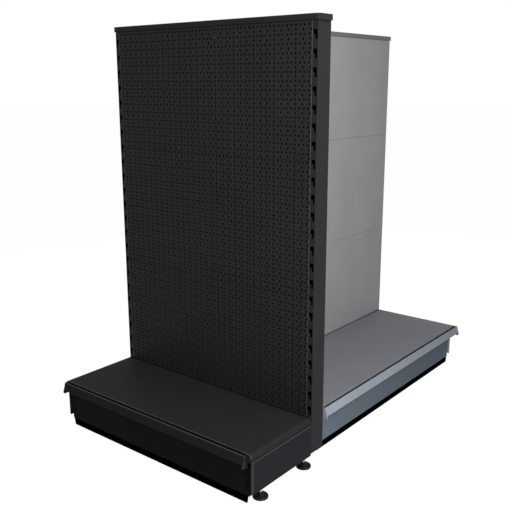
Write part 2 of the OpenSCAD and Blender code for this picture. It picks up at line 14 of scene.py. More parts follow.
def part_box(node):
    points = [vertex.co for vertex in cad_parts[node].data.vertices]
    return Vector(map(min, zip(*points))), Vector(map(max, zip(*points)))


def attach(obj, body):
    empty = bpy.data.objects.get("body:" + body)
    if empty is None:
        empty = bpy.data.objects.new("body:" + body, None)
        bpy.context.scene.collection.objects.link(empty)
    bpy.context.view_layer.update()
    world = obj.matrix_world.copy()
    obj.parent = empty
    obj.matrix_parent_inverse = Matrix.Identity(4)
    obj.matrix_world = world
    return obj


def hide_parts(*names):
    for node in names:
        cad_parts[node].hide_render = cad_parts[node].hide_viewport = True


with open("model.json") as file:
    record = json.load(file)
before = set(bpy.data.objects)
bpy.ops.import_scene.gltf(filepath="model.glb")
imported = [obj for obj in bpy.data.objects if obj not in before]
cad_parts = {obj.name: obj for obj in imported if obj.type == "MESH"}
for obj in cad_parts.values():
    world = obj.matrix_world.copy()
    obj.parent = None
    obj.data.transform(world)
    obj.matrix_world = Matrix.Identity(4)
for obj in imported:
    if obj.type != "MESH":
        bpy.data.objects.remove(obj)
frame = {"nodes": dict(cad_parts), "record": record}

log = logging.getLogger("gondola_end_unit")

Socket = bpy.types.NodeSocket
Triple = tuple[float, float, float]
PointTest = Callable[[Vector], bool]
FaceTest = Callable[[Vector, Vector], bool]

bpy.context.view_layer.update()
UP = Vector((0.0, 0.0, 1.0))
LEVELS = ("lower", "middle", "upper")
COLOUR_INPUTS, COLOUR_OUTPUT = (6, 7), 2


class Side(Enum):
    """A side of the object, seen from the front."""

    LEFT = "left"
    RIGHT = "right"

    @property
    def way(self) -> Vector:
        """The direction towards this side."""
        return Vector((-1.0 if self is Side.LEFT else 1.0, 0.0, 0.0))


@dataclass
class Nodes:
    """A small builder for a node tree."""

    tree: bpy.types.NodeTree

    def feed(self, socket: Socket, value: object) -> None:
        """Links a socket to another one, or sets its value.

        Args:
            socket: The input.
            value: Another node's output, or a plain value.
        """
        if isinstance(value, Socket):
            self.tree.links.new(value, socket)
        else:
            socket.default_value = value

    def node(self, kind: str, **inputs: object) -> bpy.types.Node:
        """Adds a node.

        Args:
            kind: The node's type name.
            **inputs: Values or sockets by input name, with _ for a space.

        Returns:
            The new node.
        """
        made = self.tree.nodes.new(kind)
        for name, value in inputs.items():
            self.feed(made.inputs[name.replace("_", " ")], value)
        return made

    def math(self, action: str, one: object, other: object) -> Socket:
        """Works out one number from two.

        Args:
            action: What is worked out, such as ADD.
            one: The first number or socket.
            other: The second one.

        Returns:
            The result's socket.
        """
        made = self.tree.nodes.new("ShaderNodeMath")
        made.operation = action
        for socket, value in zip(made.inputs, (one, other)):
            self.feed(socket, value)
        return made.outputs[0]

    def mix(self, share: Socket, one: Socket, other: Socket) -> Socket:
        """Mixes two shaders.

        Args:
            share: How much of the second one shows, from 0 to 1.
            one: The first shader.
            other: The second shader.

        Returns:
            The mixed shader.
        """
        made = self.node("ShaderNodeMixShader", Fac=share)
        for socket, shader in zip(list(made.inputs)[1:], (one, other)):
            self.feed(socket, shader)
        return made.outputs["Shader"]


@dataclass
class Shader(Nodes):
    """A small builder for a material's node tree."""

    tree: bpy.types.NodeTree = field(init=False)
    name: str
    usual: tuple[float, float] = (0.3, 0.7)
    material: bpy.types.Material = field(init=False)
    surface: bpy.types.Node = field(init=False)

    def __post_init__(self) -> None:
        """Makes an empty material with one Principled shader."""
        self.material = bpy.data.materials.new(self.name)
        self.material.use_nodes = True
        self.tree = self.material.node_tree
        self.tree.nodes.clear()
        self.surface = self.tree.nodes.new("ShaderNodeBsdfPrincipled")
        output = self.tree.nodes.new("ShaderNodeOutputMaterial")
        self.tree.links.new(self.surface.outputs["BSDF"], output.inputs["Surface"])

    def place(self) -> Socket:
        """Gives the point's place on the piece, in metres."""
        return self.node("ShaderNodeTexCoord").outputs["Object"]

    def noise(self, place: Socket, size: float, detail: float) -> Socket:
        """Adds a cloud pattern.

        Args:
            place: The point's place.
            size: The size of one cloud, in metres.
            detail: How many finer layers it has.

        Returns:
            The pattern, from 0 to 1.
        """
        made = self.node("ShaderNodeTexNoise", Vector=place, Scale=1.0 / size, Detail=detail)
        return made.outputs["Fac"]

    def spread(self, value: Socket, low: float, high: float) -> Socket:
        """Spreads the range that a pattern usually keeps to.

        Args:
            value: The pattern.
            low: The result where the pattern is low.
            high: The result where it is high.

        Returns:
            The spread pattern.
        """
        least, most = self.usual
        ends = {"From_Min": least, "From_Max": most, "To_Min": low, "To_Max": high}
        return self.node("ShaderNodeMapRange", Value=value, **ends).outputs["Result"]

    def tint(self, value: Socket, one: Triple, other: Triple) -> Socket:
        """Mixes two colours by a pattern.

        Args:
            value: The pattern.
            one: The colour where it is 0.
            other: The colour where it is 1.

        Returns:
            The mixed colour.
        """
        made = self.tree.nodes.new("ShaderNodeMix")
        made.data_type = "RGBA"
        self.feed(made.inputs["Factor"], value)
        for index, colour in zip(COLOUR_INPUTS, (one, other)):
            made.inputs[index].default_value = (*colour, 1.0)
        return made.outputs[COLOUR_OUTPUT]

    def bump(self, height: Socket, depth: float, strength: float) -> Socket:
        """Raises a surface by a pattern.

        Args:
            height: The pattern.
            depth: The height of its peaks, in metres.
            strength: How much of it shows.

        Returns:
            The new normal.
        """
        made = self.node("ShaderNodeBump", Height=height, Distance=depth, Strength=strength)
        return made.outputs["Normal"]

    def finish(self, **inputs: object) -> bpy.types.Material:
        """Ends the tree.

        Args:
            **inputs: The surface's values or sockets, named as in node().

        Returns:
            The material.
        """
        for name, value in inputs.items():
            self.feed(self.surface.inputs[name.replace("_", " ")], value)
        return self.material


def shade(colour: Triple, share: float) -> Triple:
    """Makes a colour lighter or darker by a share of itself."""
    return tuple(min(1.0, c * share) for c in colour)


@dataclass(frozen=True)
class Finish:
    """What every finish has: its slot in the record, its colour, roughness and gloss."""

    name: str
    slot: str
    colour: Triple
    roughness: float
    gloss: float
    smears: tuple[float, float] = (-0.04, 0.05)

    @property
    def smeared(self) -> tuple[float, float]:
        """The roughness where the surface is smoothest, and where it is roughest."""
        return self.roughness + self.smears[0], self.roughness + self.smears[1]

    def shades(self, least: float, most: float) -> tuple[Triple, Triple]:
        """Gives the colour at its darkest and at its lightest, as shares of itself."""
        return shade(self.colour, least), shade(self.colour, most)

    def material(self) -> bpy.types.Material:
        """Builds the finish's material, in a way of its own."""
        raise NotImplementedError


@dataclass(frozen=True)
class PowderCoat(Finish):
    """Baked powder paint, or a coat much like it: a fine orange peel and faint clouds."""

    clouds: float = 0.05
    cloud_size: float = 0.16
    specks: float = 0.07
    speck_size: float = 0.0005
    smear_size: float = 0.05
    peel_size: float = 0.0016
    peel_depth: float = 0.00005
    peel_strength: float = 0.35

    def material(self) -> bpy.types.Material:
        """Builds the paint's material.

        Returns:
            The material.
        """
        make = Shader(self.name)
        place = make.place()
        clouds = make.spread(make.noise(place, self.cloud_size, detail=3.0), 0.0, 1.0)
        mottled = make.tint(clouds, *self.shades(1 - self.clouds, 1 + self.clouds))
        specks = make.noise(place, self.speck_size, detail=1.0)
        fleck = make.spread(specks, 1 - self.specks, 1 + self.specks)
        speckled = make.node("ShaderNodeHueSaturation", Color=mottled, Value=fleck)
        smears = make.noise(place, self.smear_size, detail=4.0)
        peel = make.noise(place, self.peel_size, detail=2.0)
        return make.finish(
            Base_Color=speckled.outputs["Color"],
            Roughness=make.spread(smears, *self.smeared),
            Specular_IOR_Level=self.gloss,
            Normal=make.bump(peel, self.peel_depth, self.peel_strength),
        )


@dataclass(frozen=True)
class ExtrudedPlastic(Finish):
    """The plastic of the rails and their caps: satin, with fine draw lines along its length."""

    smears: tuple[float, float] = (-0.05, 0.06)
    clouds: float = 0.04
    cloud_size: float = 0.12
    line_gap: float = 0.0011
    line_stretch: float = 0.02
    line_depth: float = 0.00002
    line_strength: float = 0.4

    def material(self) -> bpy.types.Material:
        """Builds the plastic's material.

        Returns:
            The material.
        """
        make = Shader(self.name)
        place = make.place()
        drawn = make.node("ShaderNodeMapping", Vector=place)
        drawn.inputs["Scale"].default_value = (self.line_stretch, self.line_stretch, 1.0)
        lines = make.noise(drawn.outputs["Vector"], self.line_gap, detail=2.0)
        clouds = make.spread(make.noise(place, self.cloud_size, detail=3.0), 0.0, 1.0)
        return make.finish(
            Base_Color=make.tint(clouds, *self.shades(1 - self.clouds, 1 + self.clouds)),
            Roughness=make.spread(lines, *self.smeared),
            Specular_IOR_Level=self.gloss,
            Normal=make.bump(lines, self.line_depth, self.line_strength),
        )


@dataclass(frozen=True)
class SealRubber(Finish):
    """The soft black blade under a kick plate, dull and a little dusty in places."""

    name: str = "seal rubber"
    slot: str = "seal"
    colour: Triple = (0.0006, 0.0006, 0.0007)
    roughness: float = 0.85
    gloss: float = 0.0
    smears: tuple[float, float] = (-0.06, 0.08)
    dust: float = 1.6
    dust_size: float = 0.03
    grain_size: float = 0.0012
    grain_depth: float = 0.00006
    grain_strength: float = 0.4

    def material(self) -> bpy.types.Material:
        """Builds the rubber's material.

        Returns:
            The material.
        """
        make = Shader(self.name)
        place = make.place()
        dust = make.noise(place, self.dust_size, detail=5.0)
        grain = make.noise(place, self.grain_size, detail=2.0)
        return make.finish(
            Base_Color=make.tint(make.spread(dust, 0.0, 1.0), *self.shades(1.0, self.dust)),
            Roughness=make.spread(dust, *self.smeared),
            Specular_IOR_Level=self.gloss,
            Normal=make.bump(grain, self.grain_depth, self.grain_strength),
        )


@dataclass(frozen=True)
class ZincPlate(Finish):
    """Zinc-plated nuts and bolts, with the faint spangle of bright plating."""

    name: str = "zinc plate"
    slot: str = "zinc"
    colour: Triple = (0.56, 0.57, 0.6)
    roughness: float = 0.32
    gloss: float = 0.5
    smears: tuple[float, float] = (0.0, 0.12)
    spangles_per_metre: float = 700.0
    spangle: tuple[float, float] = (0.88, 1.05)
    relief_size: float = 0.004
    relief_depth: float = 0.00004
    relief_strength: float = 0.3

    def material(self) -> bpy.types.Material:
        """Builds the plating's material.

        Returns:
            The material.
        """
        make = Shader(self.name)
        place = make.place()
        cells = make.node("ShaderNodeTexVoronoi", Vector=place, Scale=self.spangles_per_metre)
        rough = make.noise(place, self.relief_size, detail=3.0)
        return make.finish(
            Base_Color=make.tint(cells.outputs["Distance"], *self.shades(*self.spangle)),
            Metallic=1.0,
            Roughness=make.spread(rough, *self.smeared),
            Specular_IOR_Level=self.gloss,
            Normal=make.bump(rough, self.relief_depth, self.relief_strength),
        )


BLACK_COAT = PowderCoat("black powder coat", "black_steel", (0.0158, 0.016, 0.0163), 0.55, 0.07)
UPRIGHT_COAT = PowderCoat("black upright coat", "black_steel", (0.0165, 0.0166, 0.0168), 0.5, 0.05)
# Painted shade: the black coat made darker and bluer for the legs, low down by the floor.
LEG_COAT_PAINTED_SHADE = PowderCoat("black leg coat painted shade", "black_steel", (0.0112, 0.0119, 0.0141), 0.55, 0.04)
SHELF_COAT = PowderCoat("black shelf coat", "black_steel", (0.019, 0.0198, 0.0215), 0.6, 0.02)
# Painted shade: the black coat made darker and bluer for the kick plate, under the price rail's
# overhang.
PLINTH_COAT_PAINTED_SHADE = PowderCoat("black plinth coat painted shade", "black_steel", (0.0062, 0.0068, 0.008), 0.65, 0.02)
GREY_COAT = PowderCoat(
    "grey powder coat", "grey_steel", (0.33, 0.336, 0.346), 0.5, 0.12, clouds=0.03
)
GREY_SHELF_COAT = PowderCoat(
    "grey shelf coat", "grey_steel", (0.218, 0.227, 0.248), 0.5, 0.01, clouds=0.03
)
# Painted shade: the grey coat made darker and bluer for the kick plates, under the price rails.
GREY_PLINTH_COAT_PAINTED_SHADE = PowderCoat(
    "grey plinth coat painted shade", "grey_steel", (0.139, 0.169, 0.207), 0.45, 0.02, clouds=0.03
)
BLACK_BOARD = PowderCoat("black board", "black_board", (0.0155, 0.0155, 0.0155), 0.55, 0.05)
GREY_BOARD = PowderCoat("grey board", "grey_board", (0.165, 0.162, 0.155), 0.5, 0.12)
BLACK_PLASTIC = ExtrudedPlastic(
    "black rail plastic", "black_plastic", (0.013, 0.013, 0.0138), 0.45, 0.02
)
GREY_PLASTIC = ExtrudedPlastic(
    "grey rail plastic", "grey_plastic", (0.296, 0.333, 0.381), 0.4, 0.03
)
BLACK_CAP = ExtrudedPlastic("black cap plastic", "black_plastic", (0.012, 0.012, 0.0128), 0.4, 0.1)
# Painted highlight: a lighter, glossier copy of the rail plastic for the lip's top and the caps'
# edges.
LIP_HIGHLIGHT_BLACK = ExtrudedPlastic("black rail lip painted highlight", "black_plastic", (0.025, 0.025, 0.027), 0.35, 0.3)
# Painted highlight: a lighter, glossier copy of the black coat for the shelf's front bend.
SHELF_BEND_HIGHLIGHT = PowderCoat("black bend painted highlight", "black_steel", (0.09, 0.09, 0.094), 0.35, 0.3)
# Painted shade: near-black coats for the shelves' hems and rear strips and the rails' grooves.
BLACK_PAINTED_SHADE = PowderCoat("black painted shade", "black_steel", (0.004, 0.0041, 0.0045), 0.7, 0.02)
GREY_PAINTED_SHADE = PowderCoat("grey painted shade", "grey_steel", (0.05, 0.052, 0.058), 0.7, 0.02)
# Painted highlight: a lighter, glossier copy of the black coat for the panels' upright edges.
PANEL_EDGE_HIGHLIGHT = PowderCoat("black panel edge painted highlight", "black_steel", (0.045, 0.045, 0.047), 0.4, 0.2)
# Painted shade: a near-black coat for the inside of the uprights' slots and tubes.
HOLLOW_PAINTED_SHADE = PowderCoat("hollow shade", "black_steel", (0.0012, 0.0012, 0.0013), 0.8, 0.0)
# Painted highlights: lighter, glossier copies of the black and grey coats for the legs' top strips
# and front corners.
LEG_HIGHLIGHT_BLACK = PowderCoat("black leg painted highlight", "black_steel", (0.029, 0.029, 0.032), 0.35, 0.3)
LEG_HIGHLIGHT_GREY = PowderCoat("grey leg painted highlight", "grey_steel", (0.36, 0.37, 0.39), 0.35, 0.3)
FOOT_STEEL = PowderCoat("dark foot", "foot_steel", (0.0075, 0.01, 0.012), 0.38, 0.15)
SEAL = SealRubber()
ZINC = ZincPlate()


@dataclass
class Wardrobe:
    """Builds each finish once and puts it on pieces."""

    made: dict[str, bpy.types.Material] = field(default_factory=dict)

    def cloth_of(self, finish: Finish) -> bpy.types.Material:
        """Gives a finish's material, built on its first use.

        Args:
            finish: The finish.

        Returns:
            Its material.
        """
        if finish.name not in self.made:
            self.made[finish.name] = finish.material()
        return self.made[finish.name]

    def dress(self, piece: bpy.types.Object, finish: Finish) -> None:
        """Puts a finish on a whole piece.

        Args:
            piece: The piece.
            finish: The finish that it wears.
        """
        material = self.cloth_of(finish)
        slots = piece.data.materials
        if len(slots) == 0:
            slots.append(material)
        for index in range(len(slots)):
            slots[index] = material

    def dress_node(self, node: str, finish: Finish) -> None:
        """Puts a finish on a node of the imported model."""
        self.dress(frame["nodes"][node], finish)
        log.info("%s wears %s", node, finish.name)


@dataclass
class GeometryTree(Nodes):
    """A small builder for a geometry node tree with named inputs."""

    tree: bpy.types.NodeTree = field(init=False)
    name: str
    source: bpy.types.Node = field(init=False)
    defaults: dict[str, object] = field(default_factory=dict)

    def __post_init__(self) -> None:
        """Makes a tree that takes a shape in and gives one out."""
        self.tree = bpy.data.node_groups.new(self.name, "GeometryNodeTree")
        face = self.tree.interface
        face.new_socket("Geometry", in_out="INPUT", socket_type="NodeSocketGeometry")
        face.new_socket("Geometry", in_out="OUTPUT", socket_type="NodeSocketGeometry")
        self.source = self.tree.nodes.new("NodeGroupInput")

    def value(self, name: str, amount: object) -> Socket:
        """Adds a named input: a length, a count or a material.

        Args:
            name: The input's name.
            amount: Its value on the first use, which also sets its type.

        Returns:
            The input's socket inside the tree.
        """
        kinds = {float: "NodeSocketFloat", int: "NodeSocketInt"}
        kind = kinds.get(type(amount), "NodeSocketMaterial")
        self.tree.interface.new_socket(name, in_out="INPUT", socket_type=kind)
        self.defaults[name] = amount
        return self.source.outputs[name]

    def point(self, x: object, y: object, z: object) -> Socket:
        """Joins three numbers into a place or a size."""
        return self.node("ShaderNodeCombineXYZ", X=x, Y=y, Z=z).outputs["Vector"]

    def cut(self, action: str, first: Socket | None, others: list[Socket]) -> Socket:
        """Joins or cuts closed shapes.

        Args:
            action: UNION or DIFFERENCE.
            first: The shape that is cut, where there is one.
            others: The shapes that are joined, or that cut it.

        Returns:
            The result's socket.
        """
        made = self.tree.nodes.new("GeometryNodeMeshBoolean")
        made.operation = action
        made.solver = "MANIFOLD"
        if first is not None:
            self.tree.links.new(first, made.inputs["Mesh 1"])
        for shape in others:
            self.tree.links.new(shape, made.inputs["Mesh 2"])
        return made.outputs["Mesh"]

    def finish(self, shape: Socket, material: Socket) -> None:
        """Ends the tree: instances become real, and the shape gets its material.

        Args:
            shape: The tree's last shape.
            material: What it wears.
        """
        real = self.node("GeometryNodeRealizeInstances", Geometry=shape)
        dressed = self.node(
            "GeometryNodeSetMaterial", Geometry=real.outputs["Geometry"], Material=material
        )
        output = self.tree.nodes.new("NodeGroupOutput")
        self.tree.links.new(dressed.outputs["Geometry"], output.inputs["Geometry"])

    def apply(self, piece: bpy.types.Object, values: dict[str, object]) -> bpy.types.Object:
        """Runs the tree on a piece and turns the result into its plain mesh.

        Args:
            piece: The piece with the starting shape.
            values: The inputs that differ from the tree's first ones.

        Returns:
            The piece, with its new mesh and no modifier.
        """
        modifier = piece.modifiers.new(self.name, "NODES")
        modifier.node_group = self.tree
        chosen = {**self.defaults, **values}
        for item in self.tree.interface.items_tree:
            if item.in_out == "INPUT" and item.name in chosen:
                modifier[item.identifier] = chosen[item.name]
        return bake_modifiers(piece)


def bake_modifiers(piece: bpy.types.Object) -> bpy.types.Object:
    """Turns a piece with modifiers into a plain mesh without them.

    Args:
        piece: The piece.

    Returns:
        The same piece, with its new mesh.
    """
    bpy.context.view_layer.update()
    graph = bpy.context.evaluated_depsgraph_get()
    mesh = bpy.data.meshes.new_from_object(piece.evaluated_get(graph), depsgraph=graph)
    piece.modifiers.clear()
    old = piece.data
    piece.data = mesh
    bpy.data.meshes.remove(old)
    mesh.name = piece.name
    return piece


def new_piece(name: str, mesh: bpy.types.Mesh) -> bpy.types.Object:
    """Links a new piece at the origin, with its place in its mesh.

    Args:
        name: The piece's name.
        mesh: Its mesh.

    Returns:
        The piece.
    """
    piece = bpy.data.objects.new(name, mesh)
    bpy.context.scene.collection.objects.link(piece)
    return piece


def settle(piece: bpy.types.Object, nodes: list[str]) -> None:
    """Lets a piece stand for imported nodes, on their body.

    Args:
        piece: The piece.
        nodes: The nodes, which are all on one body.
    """
    body = next(b for b, held in frame["record"]["behaviour"]["bodies"].items() if nodes[0] in held)
    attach(piece, body)
    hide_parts(*nodes)
    log.info("%s stands for %s on %s", piece.name, ", ".join(nodes), body)


@dataclass
class PerforatedPanels:
    """The end unit's three back panels: folded sheets with close and wide rows of holes."""

    wardrobe: Wardrobe
    sheet: float = 0.0008
    fold_depth: float = 0.015
    fold_in: float = 0.016
    edge_radius: float = 0.0006
    edge_highlight_strip: float = 0.0016
    hole: float = 0.0065
    sides: int = 12
    row: float = 0.0125
    close: float = 0.015
    close_count: int = 52
    wide: float = 0.025
    wide_count: int = 32
    lap: float = 0.0004
    edge_steps: int = 3
    roundness: float = 0.5
    wide_start: float = 0.5
    close_start: float = 1.5
    punch_reach: float = 3.0

    def tree(self) -> GeometryTree:
        """Builds the tree that adds the folds behind a sheet and punches its holes.

        Returns:
            The tree, whose inputs are the panel's sizes.
        """
        tree = GeometryTree("perforate")
        low, high = tree.value("Low", 0.0), tree.value("High", 1.0)
        face, width = tree.value("Face", 0.0), tree.value("Width", 1.0)
        sheet, depth = tree.value("Sheet", self.sheet), tree.value("Fold Depth", self.fold_depth)
        inset = tree.value("Fold Inset", self.fold_in)
        hole, sides = tree.value("Hole", self.hole), tree.value("Hole Sides", self.sides)
        row, rows = tree.value("Row", self.row), tree.value("Rows", 1)
        close, wide = tree.value("Close", self.close), tree.value("Wide", self.wide)
        close_count = tree.value("Close Count", self.close_count)
        wide_count = tree.value("Wide Count", self.wide_count)
        finish = tree.value("Finish", self.wardrobe.cloth_of(BLACK_COAT))

        plus, minus, times = (partial(tree.math, a) for a in ("ADD", "SUBTRACT", "MULTIPLY"))
        middle = times(plus(low, high), 0.5)
        tall = minus(high, low)
        span = minus(width, times(inset, 2.0))
        deep = plus(face, times(depth, 0.5))
        half_sheet = times(sheet, 0.5)
        folds = []
        for sign in (-1.0, 1.0):
            beside = times(span, 0.5 * sign)
            folds.append((tree.point(sheet, depth, tall), tree.point(beside, deep, middle)))
            edge = high if sign > 0 else low
            level = minus(edge, times(half_sheet, sign))
            folds.append((tree.point(span, depth, sheet), tree.point(0.0, deep, level)))
        blocks = [tree.source.outputs["Geometry"]]
        for size, centre in folds:
            cube = tree.node("GeometryNodeMeshCube", Size=size)
            cube = cube.outputs["Mesh"]
            moved = tree.node("GeometryNodeTransform", Geometry=cube, Translation=centre)
            blocks.append(moved.outputs["Geometry"])
        tray = tree.cut("UNION", None, blocks)

        punch = tree.node(
            "GeometryNodeMeshCylinder",
            Vertices=sides,
            Radius=times(hole, 0.5),
            Depth=times(sheet, self.punch_reach),
        )
        holes = []
        kinds = ((wide, wide_count, self.wide_start), (close, close_count, self.close_start))
        for gap, count, rows_up in kinds:
            start = plus(low, times(row, rows_up))
            climb = times(minus(rows, 1.0), row)
            grid = tree.node(
                "GeometryNodeMeshGrid",
                Size_X=times(minus(count, 1.0), gap),
                Size_Y=times(climb, 2.0),
                Vertices_X=count,
                Vertices_Y=rows,
            )
            upright = tree.node(
                "GeometryNodeTransform",
                Geometry=grid.outputs["Mesh"],
                Translation=tree.point(0.0, plus(face, half_sheet), plus(start, climb)),
            )
            upright.inputs["Rotation"].default_value = (math.pi / 2, 0.0, 0.0)
            held = tree.node(
                "GeometryNodeInstanceOnPoints",
                Points=upright.outputs["Geometry"],
                Instance=punch.outputs["Mesh"],
            )
            held.inputs["Rotation"].default_value = (math.pi / 2, 0.0, 0.0)
            real = tree.node("GeometryNodeRealizeInstances", Geometry=held.outputs["Instances"])
            holes.append(real.outputs["Geometry"])
        tree.finish(tree.cut("DIFFERENCE", tray, holes), finish)
        return tree

    def sheet_mesh(self, name: str, low: Vector, high: Vector) -> bpy.types.Mesh:
        """Makes the flat sheet with rounded edges all round its face.

        Args:
            name: The mesh's name.
            low: The panel's lowest corner.
            high: Its highest corner.

        Returns:
            The sheet's mesh.
        """
        shape = bmesh.new()
        bmesh.ops.create_cube(shape, size=1.0)
        size = high - low
        size.y = self.sheet
        centre = (low + high) / 2
        centre.y = low.y + self.sheet / 2
        bmesh.ops.transform(
            shape,
            matrix=Matrix.Translation(centre) @ Matrix.Diagonal((*size, 1.0)),
            verts=shape.verts,
        )
        front = [e for e in shape.edges if all(v.co.y < centre.y for v in e.verts)]
        bmesh.ops.bevel(
            shape,
            geom=front,
            offset=self.edge_radius,
            segments=self.edge_steps,
            profile=self.roundness,
            affect="EDGES",
        )
        mesh = bpy.data.meshes.new(name)
        shape.to_mesh(mesh)
        shape.free()
        return mesh

    def paint_edge_highlights(self, piece: bpy.types.Object, low: Vector, high: Vector) -> None:
        """Paints a highlight along a sheet's two upright edges.

        Args:
            piece: The panel.
            low: Its lowest corner.
            high: Its highest corner.
        """
        shape = bmesh.new()
        shape.from_mesh(piece.data)
        left, right = low.x + self.edge_highlight_strip, high.x - self.edge_highlight_strip
        for side in (left, right):
            everything = [*shape.verts, *shape.edges, *shape.faces]
            bmesh.ops.bisect_plane(
                shape, geom=everything, plane_co=(side, 0.0, 0.0), plane_no=(1.0, 0.0, 0.0)
            )
        for face in shape.faces:
            middle = face.calc_center_median()
            # Painted highlight on the strips along both upright edges of the face.
            painted_highlight = not left < middle.x < right and middle.y < low.y + self.sheet
            face.material_index = 1 if painted_highlight else 0
        piece.data.materials.clear()
        for finish in (BLACK_COAT, PANEL_EDGE_HIGHLIGHT):
            piece.data.materials.append(self.wardrobe.cloth_of(finish))
        shape.to_mesh(piece.data)
        shape.free()

    def build(self) -> None:
        """Makes the three panels, each in the place of its node."""
        tree = self.tree()
        for level in LEVELS:
            node = f"end_panel_{level}"
            low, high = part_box(node)
            piece = new_piece(f"perforated_panel_{level}", self.sheet_mesh(node, low, high))
            span = high.z - low.z + 2 * self.lap
            sizes = {
                "Low": low.z,
                "High": high.z,
                "Face": low.y,
                "Width": high.x - low.x,
                "Rows": math.floor((span - self.close_start * self.row) / (2 * self.row)) + 1,
            }
            tree.apply(piece, sizes)
            self.paint_edge_highlights(piece, low, high)
            log.info("%s has %d pairs of rows", node, sizes["Rows"])
            settle(piece, [node])


@dataclass
class Softener:
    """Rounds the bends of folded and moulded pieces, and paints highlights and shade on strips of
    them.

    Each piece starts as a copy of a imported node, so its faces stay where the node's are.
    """

    wardrobe: Wardrobe
    node: str
    merge: float = 0.000002
    flat: float = math.radians(0.4)
    crease: float = math.radians(35.0)
    near: float = 0.0002
    steps: int = 3
    roundness: float = 0.5
    shape: bmesh.types.BMesh = field(init=False)
    low: Vector = field(init=False)
    high: Vector = field(init=False)

    def __post_init__(self) -> None:
        """Copies the node's mesh with its loose triangles joined into whole faces."""
        self.shape = bmesh.new()
        self.shape.from_mesh(frame["nodes"][self.node].data)
        bmesh.ops.remove_doubles(self.shape, verts=self.shape.verts, dist=self.merge)
        held = {"verts": self.shape.verts, "edges": self.shape.edges}
        bmesh.ops.dissolve_limit(self.shape, angle_limit=self.flat, **held)
        for face in self.shape.faces:
            face.material_index = 0
        self.low, self.high = (Vector(corner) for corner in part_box(self.node))

    def at(self, value: float, level: float) -> bool:
        """Tells whether two lengths are the same, near enough."""
        return abs(value - level) < self.near

    def reach(self, way: Vector) -> float:
        """Gives how far the piece reaches in a direction."""
        return max(v.co.dot(way) for v in self.shape.verts)

    def cut(self, way: Vector, level: float) -> None:
        """Cuts the faces across a direction, so that a strip of them can wear its own finish.

        Args:
            way: The direction, one metre long.
            level: How far along it the cut lies.
        """
        everything = [*self.shape.verts, *self.shape.edges, *self.shape.faces]
        bmesh.ops.bisect_plane(self.shape, geom=everything, plane_co=way * level, plane_no=way)

    def ends(self, way: Vector) -> PointTest:
        """Gives a test that picks the points at both ends of the piece.

        Args:
            way: The direction from one end to the other.

        Returns:
            The test.
        """
        high, low = self.reach(way), self.reach(-way)
        return lambda point: self.at(point.dot(way), high) or self.at(point.dot(-way), low)

    def round_off(
        self, picked: PointTest, radius: float, cloth: int = 0, climb: float = 0.0
    ) -> None:
        """Rounds the sharp edges that have both ends picked by a test.

        Args:
            picked: The test, which takes a point.
            radius: The rounding, in metres.
            cloth: The place of the rounded strip's finish in the list that close() takes.
            climb: How far up an edge has to go to be rounded.
        """
        edges = [
            e
            for e in self.shape.edges
            if len(e.link_faces) == 2
            and e.calc_face_angle(0.0) > self.crease
            and all(picked(v.co) for v in e.verts)
            and abs(e.verts[0].co.z - e.verts[1].co.z) >= climb
        ]
        if edges:
            bmesh.ops.bevel(
                self.shape,
                geom=edges,
                offset=radius,
                segments=self.steps,
                profile=self.roundness,
                affect="EDGES",
                clamp_overlap=True,
                material=cloth,
            )

    def paint_light_and_shade(self, picked: FaceTest, cloth: int = 1) -> None:
        """Gives the faces that a test picks another finish, for painted highlights and painted
        shade.

        Args:
            picked: The test, which takes a face's middle and direction.
            cloth: The place of the finish in the list that close() takes.
        """
        for face in self.shape.faces:
            if picked(face.calc_center_median(), face.normal):
                face.material_index = cloth

    def close(self, name: str, finishes: list[Finish]) -> bpy.types.Object:
        """Turns the shape into the piece that stands for the node.

        Args:
            name: The piece's name.
            finishes: What it wears, and after that what its strips of painted highlight and shade
                wear.

        Returns:
            The new piece.
        """
        mesh = bpy.data.meshes.new(name)
        self.shape.to_mesh(mesh)
        self.shape.free()
        for finish in finishes:
            mesh.materials.append(self.wardrobe.cloth_of(finish))
        mesh.shade_smooth()
        mesh.set_sharp_from_angle(angle=self.crease)
        piece = new_piece(name, mesh)
        even = piece.modifiers.new("even shading", "WEIGHTED_NORMAL")
        even.keep_sharp = True
        bake_modifiers(piece)
        settle(piece, [self.node])
        return piece


